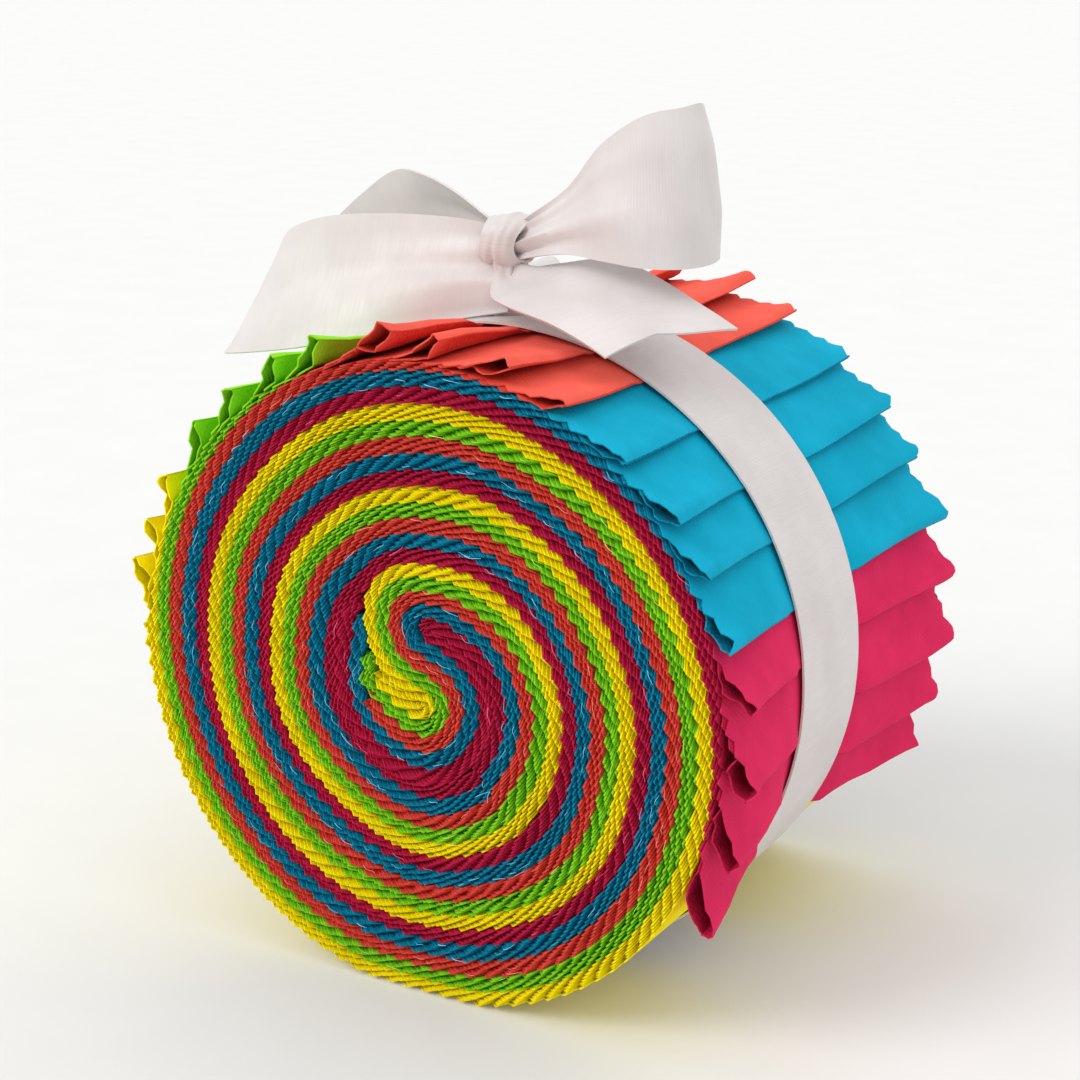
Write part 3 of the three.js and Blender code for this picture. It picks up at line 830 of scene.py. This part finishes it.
def make_strips():
    materials = [cotton(colour) for colour in COLOURS]
    strips, frays = [], [[] for _ in COLOURS]
    for i in range(STRIP_COUNT):
        strip, tips, rows = strip_object(i, materials)
        strips.append(strip)
        frays[i // PER_COLOUR] += strip_frays(tips, rows)
    for group, colour in enumerate(COLOURS):
        picks = rng.choice(len(frays[group]), THREADS_EACH[colour.name], replace=False)
        chosen = [frays[group][p] for p in picks]
        threads = thread_object(colour, chosen, thread_material(colour))


# The ribbon. The loops and tails are sheets between a low and a high edge, one row a station
# along the ribbon: each edge as x, y and height from the roll's axis.
Edge = namedtuple("Edge", "low high")
LEFT_LOOP = [
    Edge((-2.4, -8.7, 41.4), (-5.2, -5.6, 50.8)),
    Edge((-7.6, -10.3, 40.4), (-8.8, -6.2, 51.6)),
    Edge((-13.4, -12.8, 39.2), (-13.4, -6.6, 51.8)),
    Edge((-20.0, -15.2, 37.6), (-20.6, -7.6, 51.6)),
    Edge((-28.0, -16.3, 35.6), (-28.2, -8.8, 50.8)),
    Edge((-36.0, -15.8, 34.1), (-33.6, -8.8, 49.0)),
    Edge((-42.0, -13.3, 33.0), (-36.8, -7.0, 46.6)),
    Edge((-44.0, -8.0, 32.4), (-37.8, -2.4, 46.2)),
    Edge((-41.8, -2.6, 33.8), (-35.8, 1.0, 47.6)),
    Edge((-35.4, 2.4, 36.6), (-31.6, 2.8, 51.8)),
    Edge((-27.6, 4.6, 40.2), (-26.2, 2.6, 55.4)),
    Edge((-20.0, 5.4, 42.8), (-19.8, -0.4, 55.8)),
    Edge((-13.0, 3.2, 45.8), (-12.8, -3.0, 54.4)),
    Edge((-5.6, -2.8, 47.8), (-5.6, -4.2, 50.8)),
]
RIGHT_LOOP = [
    Edge((-2.4, -6.6, 47.3), (-2.4, -5.6, 51.6)),
    Edge((5.5, -9.2, 49.0), (4.6, -6.4, 56.2)),
    Edge((11.5, -10.2, 48.8), (9.4, -7.0, 61.6)),
    Edge((16.8, -9.6, 48.3), (14.2, -6.0, 65.0)),
    Edge((20.4, -6.6, 48.1), (17.4, -3.2, 65.9)),
    Edge((21.6, -1.6, 48.2), (18.6, 0.6, 66.2)),
    Edge((20.0, 3.2, 48.4), (16.8, 4.0, 64.0)),
    Edge((15.0, 5.4, 48.4), (12.0, 5.0, 60.4)),
    Edge((8.8, 4.0, 48.2), (7.0, 3.2, 56.0)),
    Edge((-2.4, -3.2, 47.3), (-2.4, -4.0, 51.3)),
]
FRONT_TAIL = [
    Edge((-5.2, -6.8, 45.2), (-1.6, -4.8, 46.4)),
    Edge((-3.8, -9.7, 43.1), (3.4, -5.4, 47.2)),
    Edge((1.6, -15.2, 43.4), (9.8, -3.8, 47.9)),
    Edge((9.6, -18.0, 42.4), (15.6, -4.0, 46.4)),
    Edge((17.8, -20.4, 39.6), (21.2, -4.4, 43.8)),
    Edge((23.4, -22.2, 36.4), (26.2, -4.6, 41.2)),
]
BACK_TAIL = [
    Edge((-5.6, -4.4, 44.0), (-2.8, -3.2, 44.2)),
    Edge((-14.0, 3.0, 42.6), (-5.0, 8.2, 44.0)),
    Edge((-20.8, 9.0, 39.0), (-10.6, 17.4, 43.2)),
    Edge((-27.0, 14.0, 35.6), (-17.0, 25.0, 41.8)),
    Edge((-31.6, 17.4, 32.4), (-21.6, 28.6, 40.2)),
]
# A tail's end is cut to two points: the places across it, and the share of its length there.
FRONT_CUT = ((0, 0.46, 1), (0.79, 0.82, 1))
BACK_CUT = ((0, 0.5, 1), (1, 0.86, 1))
STRAIGHT_CUT = ((0, 1), (1, 1))
SHEET_COLUMNS = 18


def grid_object(name, centre, normal, thick, uv, closed, material):
    """A closed thin sheet either side of a grid of points. A closed one joins end to end."""
    rows, columns = centre.shape[:2]
    points = np.concatenate([centre + normal * thick / 2, centre - normal * thick / 2])
    points = points.reshape(-1, 3)
    total = rows * columns
    faces = []
    for r in range(rows if closed else rows - 1):
        a, b = r * columns, (r + 1) % rows * columns
        for c in range(columns - 1):
            faces.append([a + c, b + c, b + c + 1, a + c + 1])
            faces.append([total + a + c + 1, total + b + c + 1, total + b + c, total + a + c])
        end = columns - 1
        faces.append([a, total + a, total + b, b])
        faces.append([a + end, b + end, total + b + end, total + a + end])
    if not closed:
        for c in range(columns - 1):
            faces.append([c, c + 1, total + c + 1, total + c])
            k = (rows - 1) * columns + c
            faces.append([k, total + k, total + k + 1, k + 1])
    flat = np.vstack([uv.reshape(-1, 2)] * 2)
    ribbon = new_object(name, points, faces, flat, None, material, sharp=60)
    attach(ribbon, "root")
    return ribbon


def sheet_surface(stations, cut, steps, crown, creases):
    """A ribbon's middle surface, its normals and its flat coordinates."""
    rows = np.linspace(0, 1, len(stations))
    low = np.array([s.low for s in stations])
    high = np.array([s.high for s in stations])
    across = np.linspace(0, 1, SHEET_COLUMNS)
    reach = np.interp(across, *cut)
    u = np.linspace(0, 1, steps)[:, None] * reach[None, :]
    v = np.broadcast_to(across, u.shape)
    flat_u = u.ravel()
    a = hermite(flat_u, rows, low).reshape(*u.shape, 3)
    b = hermite(flat_u, rows, high).reshape(*u.shape, 3)
    centre = a + (b - a) * v[..., None]
    middle = along(centre[:, SHEET_COLUMNS // 2])
    along_u = np.gradient(centre, axis=0)
    normal = np.cross(along_u, b - a)
    normal /= np.linalg.norm(normal, axis=-1, keepdims=True)
    lift = crown * 4 * v * (1 - v) + creases(u, v)
    centre = centre + normal * lift[..., None]
    along_u, along_v = np.gradient(centre, axis=0), np.gradient(centre, axis=1)
    normal = np.cross(along_u, along_v)
    normal /= np.linalg.norm(normal, axis=-1, keepdims=True)
    width = np.linalg.norm(b - a, axis=-1)
    uv = np.stack([np.broadcast_to(middle[:, None], u.shape), (v - 0.5) * width], -1)
    return centre, normal, uv


# How far out from the knot gathers reach, as a share of the ribbon's length, and how sharply
# they end.
LOOP_GATHERS = (0.17, 1.3)
LOOP_WAVES = (0.4, 2)
TAIL_GATHERS = (0.26, 1.3)


def root_share(u, reach, power):
    """1 at a ribbon's root in the knot, and less the further out it is."""
    return np.exp(-((u / reach) ** power))


def loop_creases(folds, depth, seed):
    """Gathers that fan out from the knot at both ends of a loop, over slower waves."""
    def lift(u, v):
        near = root_share(u, *LOOP_GATHERS) + root_share(1 - u, *LOOP_GATHERS)
        far = root_share(u, *LOOP_WAVES) + root_share(1 - u, *LOOP_WAVES)
        fan = np.sin(2 * np.pi * folds * v + seed)
        fan = fan + 0.5 * np.sin(3.4 * np.pi * folds * v + 2.3 * seed)
        slow = np.sin(2 * np.pi * (0.6 * folds * v + 0.5 * u) + 1.7 * seed)
        soft = 0.25 * np.sin(2 * np.pi * (1.1 * v + 2.1 * u) + seed)
        return 0.5 * depth * near * fan + 0.3 * depth * far * slow + soft * (1 - near)
    return lift


def tail_creases(folds, depth, seed):
    """Gathers that fan out from the knot at a tail's root."""
    def lift(u, v):
        near = root_share(u, *TAIL_GATHERS)
        fan = np.sin(2 * np.pi * folds * v + seed)
        soft = 0.2 * np.sin(2 * np.pi * (0.8 * v + 1.4 * u) + seed)
        return depth * near * fan + soft * (1 - near)
    return lift


def declare_ribbon(node):
    """Hides a ribbon piece's part from the model."""
    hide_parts(node)


def cloth_radius(angle):
    """The radius of the outermost cloth at an angle, under the ribbon."""
    winding = OUTER_TURNS - angle
    reached = [i for i, pleat in enumerate(PLEATS) if pleat.angle <= angle]
    if not reached:
        return spiral_radius(winding - 360) - PLY / 2
    return spiral_radius(winding) - (2 * reached[0] + 0.5) * PLY


# The band: how finely it is divided, how far it lies off the cloth, over how many steps either
# way the cloth holds it up, and its small ripples.
BAND_STEPS = 360
BAND_COLUMNS = 13
BAND_CLEAR = 0.42
BAND_REACH = 5
BAND_RIPPLE = 0.05
BAND_RIPPLES = 19
BAND_DRIFT = 0.25


def band_radius():
    """The ribbon's radius all round, drawn tight over the highest cloth near each place."""
    angle = np.linspace(180, -180, BAND_STEPS, endpoint=False)
    cloth = np.array([cloth_radius(a) for a in angle])
    near = range(-BAND_REACH, BAND_REACH + 1)
    highest = np.max([np.roll(cloth, n) for n in near], axis=0)
    level = np.mean([np.roll(highest, n) for n in near], axis=0)
    return angle[:, None], level[:, None] + BAND_CLEAR


def make_band(material):
    """The ribbon round the roll."""
    angle, radius = band_radius()
    v = np.linspace(-1, 1, BAND_COLUMNS)[None, :]
    ripple = BAND_RIPPLE * np.sin(np.radians(angle) * BAND_RIPPLES) * (1 - np.abs(v))
    ripple = ripple + BAND_RIPPLE * np.abs(v) ** 3
    level = AXIS_HEIGHT - BAND_LEVEL - RIBBON_THICK / 2
    radius = np.minimum(radius + ripple, floor_radius(angle, level))
    turn = np.radians(angle)
    y = BAND_Y + v * BAND_WIDTH / 2 + BAND_DRIFT * np.sin(2 * turn + 0.7)
    centre = np.stack([radius * np.cos(turn), y, radius * np.sin(turn)], -1)
    normal = np.stack([np.cos(turn) + 0 * v, 0 * (turn + v), np.sin(turn) + 0 * v], -1)
    middle = centre[:, BAND_COLUMNS // 2]
    ring = along(middle[:, [0, 2]])
    uv = np.stack([ring[:, None] + 0 * v, 0 * turn + v * BAND_WIDTH / 2], -1)
    return grid_object("ribbon_band_satin", centre, normal, RIBBON_THICK, uv, True, material), uv


# The knot is a short wrap of ribbon round the loops' roots, over a gathered neck on the band.
# The wrap's halves are its width along x and its reach in y and in height.
WRAP_MIDDLE = (-4.0, -5.0, 49.4)
WRAP_HALF = (2.6, 3.5, 3.0)
WRAP_SQUARE = 2.5
WRAP_SLANT = 0.2
WRAP_PINCH = 0.12
WRAP_WAVE = 0.12
WRAP_DROOP = 0.15
WRAP_SIDES = 72
WRAP_COLUMNS = 27
Level = namedtuple("Level", "height half_x half_y")
NECK_X, NECK_Y = -4.2, -5.0
NECK_LEVELS = [
    Level(40.3, 2.5, 2.9),
    Level(41.5, 2.7, 3.0),
    Level(43.2, 2.4, 2.7),
    Level(44.9, 2.1, 2.4),
    Level(46.5, 2.0, 2.3),
    Level(48.4, 2.15, 2.5),
    Level(50.2, 2.1, 2.3),
    Level(51.3, 1.7, 1.6),
    Level(51.7, 0.9, 0.8),
]
NECK_SIDES = 72
NECK_ROWS = 60
NECK_GIRTH = 3.4


def make_wrap(material):
    """The turn of ribbon round the bow's middle, fuller at the middle of its width."""
    turn = np.linspace(0, 2 * np.pi, WRAP_SIDES, endpoint=False)[:, None]
    v = np.linspace(-1, 1, WRAP_COLUMNS)[None, :]
    around = np.stack([np.cos(turn), np.sin(turn)])
    around = np.sign(around) * np.abs(around) ** (2 / WRAP_SQUARE)
    creases = 0.045 * np.sin(5.2 * v + 0.9 * np.sin(turn + 0.6) + 0.5)
    creases += 0.025 * np.sin(11 * v + 1.6 * np.cos(turn) + 2.0)
    full = 1 - WRAP_DROOP * np.abs(v) ** 2.4 + creases
    y = around[0] * WRAP_HALF[1] * full
    z = around[1] * WRAP_HALF[2] * full
    pinch = 1 - WRAP_PINCH * np.cos(2 * turn)
    x = v * WRAP_HALF[0] * pinch + WRAP_SLANT * z + WRAP_WAVE * np.sin(3 * turn + 1)
    centre = np.stack([x, y, z], -1) + WRAP_MIDDLE
    along_turn = np.roll(centre, -1, 0) - np.roll(centre, 1, 0)
    normal = np.cross(along_turn, np.gradient(centre, axis=1))
    normal /= np.linalg.norm(normal, axis=-1, keepdims=True)
    uv = np.stack([turn * WRAP_HALF[1] + 0 * v, 0 * turn + v * BAND_WIDTH / 2], -1)
    return grid_object("ribbon_wrap", centre, normal, RIBBON_THICK, uv, True, material)


def make_neck(material):
    """The gathered ribbon between the band and the bow."""
    table = np.array(NECK_LEVELS)
    share = np.linspace(0, 1, len(table))
    up = np.linspace(0, 1, NECK_ROWS)
    levels = hermite(up, share, table)
    turn = np.linspace(0, 2 * np.pi, NECK_SIDES, endpoint=False)[None, :]
    q = up[:, None]
    folds = 0.09 * np.sin(7 * turn + 4 * q) + 0.05 * np.sin(11 * turn - 5 * q + 1)
    x = NECK_X + levels[:, 1, None] * np.cos(turn) * (1 + folds)
    y = NECK_Y + levels[:, 2, None] * np.sin(turn) * (1 + folds)
    z = levels[:, 0, None] + 0 * turn
    points = np.stack([x, y, z], -1).reshape(-1, 3)
    faces = []
    for r in range(NECK_ROWS - 1):
        for side in range(NECK_SIDES):
            a, b = r * NECK_SIDES + side, r * NECK_SIDES + (side + 1) % NECK_SIDES
            faces.append([a, b, b + NECK_SIDES, a + NECK_SIDES])
    faces.append(list(range(NECK_SIDES))[::-1])
    faces.append([(NECK_ROWS - 1) * NECK_SIDES + side for side in range(NECK_SIDES)])
    uv = np.stack([turn * NECK_GIRTH + 0 * q, z], -1).reshape(-1, 2)
    neck = new_object("ribbon_neck", points, faces, uv, None, material, sharp=80)
    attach(neck, "root")
    return neck


Part = namedtuple("Part", "name node stations cut steps crown creases")
RIBBON_PARTS = [
    Part("ribbon_loop_left", "bow_loop_left", LEFT_LOOP, STRAIGHT_CUT, 130, 0.5,
         loop_creases(folds=2.2, depth=0.8, seed=0.6)),
    Part("ribbon_loop_right", "bow_loop_right", RIGHT_LOOP, STRAIGHT_CUT, 120, 0.5,
         loop_creases(folds=2.6, depth=0.8, seed=2.2)),
    Part("ribbon_tail_front", "bow_tail_front", FRONT_TAIL, FRONT_CUT, 60, 0.6,
         tail_creases(folds=1.8, depth=0.5, seed=0.4)),
    Part("ribbon_tail_back", "bow_tail_back", BACK_TAIL, BACK_CUT, 60, 0.6,
         tail_creases(folds=1.6, depth=0.5, seed=1.4)),
]


def make_ribbon():
    material = satin()
    band, uv = make_band(material)
    knot = [make_wrap(material), make_neck(material)]
    for piece in knot:
        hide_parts("bow_knot")
    declare_ribbon("ribbon_band")
    for part in RIBBON_PARTS:
        centre, normal, uv = sheet_surface(
            part.stations, part.cut, part.steps, part.crown, part.creases
        )
        piece = grid_object(part.name, centre, normal, RIBBON_THICK, uv, False, material)
        declare_ribbon(part.node)


# The camera stands where the photograph's did, from the roll's middle, and looks at the whole.
CAMERA_FROM_AXIS = (134.2, -233.8, 91.4)
CAMERA_TARGET = (0.5, -4.0, 50.5)
LENS = 74.0
SENSOR = 36.0
CLIP = (0.01, 20.0)


def make_camera():
    camera = bpy.data.cameras.new("camera")
    camera.lens = LENS
    camera.sensor_width = SENSOR
    camera.clip_start, camera.clip_end = CLIP
    obj = bpy.data.objects.new("camera", camera)
    bpy.context.scene.collection.objects.link(obj)
    place = Vector(CAMERA_FROM_AXIS) + Vector((AXIS_X, 0, AXIS_HEIGHT))
    obj.location = place * MM
    obj.rotation_euler = (Vector(CAMERA_TARGET) - place).to_track_quat("-Z", "Y").to_euler()
    bpy.context.scene.camera = obj


Lamp = namedtuple("Lamp", "name place spread strength")
# Each lamp is broad and far away. The first columns say where it shines from, and how many
# degrees wide it is.
LAMPS = [
    Lamp("key", (-260, -380, 420), 30, 1.35),
    Lamp("fill", (460, -260, 240), 60, 0.3),
    Lamp("top", (60, 160, 560), 60, 0.5),
]
LAMP_AIM = (0, 0, 45)
SKY_STRENGTH = 0.86
# The floor's width is in metres.
FLOOR_SIZE = 30.0
FLOOR_PALE = (226, 226, 225)
FLOOR_DEEP = (220, 220, 219)


def make_floor():
    nodes = Nodes("pale_floor")
    solid = nodes.add("ShaderNodeTexCoord").outputs["Object"]
    grain = nodes.noise(60.0, 3.0, solid)
    tone = nodes.mix(grain, linear(FLOOR_PALE), linear(FLOOR_DEEP))
    nodes.connect(tone, "Base Color")
    nodes.shader.inputs["Roughness"].default_value = 0.75
    bpy.ops.mesh.primitive_plane_add(size=FLOOR_SIZE)
    floor = bpy.context.object
    floor.name = "floor"
    floor.data.materials.append(nodes.material)


def make_light():
    for lamp in LAMPS:
        light = bpy.data.lights.new(lamp.name, "SUN")
        light.energy = lamp.strength
        light.angle = math.radians(lamp.spread)
        obj = bpy.data.objects.new(lamp.name, light)
        bpy.context.scene.collection.objects.link(obj)
        obj.location = Vector(lamp.place) * MM
        aim = Vector(LAMP_AIM) * MM - obj.location
        obj.rotation_euler = aim.to_track_quat("-Z", "Y").to_euler()
    world = bpy.data.worlds.new("soft_studio")
    world.use_nodes = True
    sky = world.node_tree.nodes["Background"]
    sky.inputs["Color"].default_value = (1.0, 1.0, 1.0, 1.0)
    sky.inputs["Strength"].default_value = SKY_STRENGTH
    bpy.context.scene.world = world
    bpy.context.scene.view_settings.view_transform = "Standard"


make_camera()
make_strips()
make_ribbon()
make_floor()
make_light()
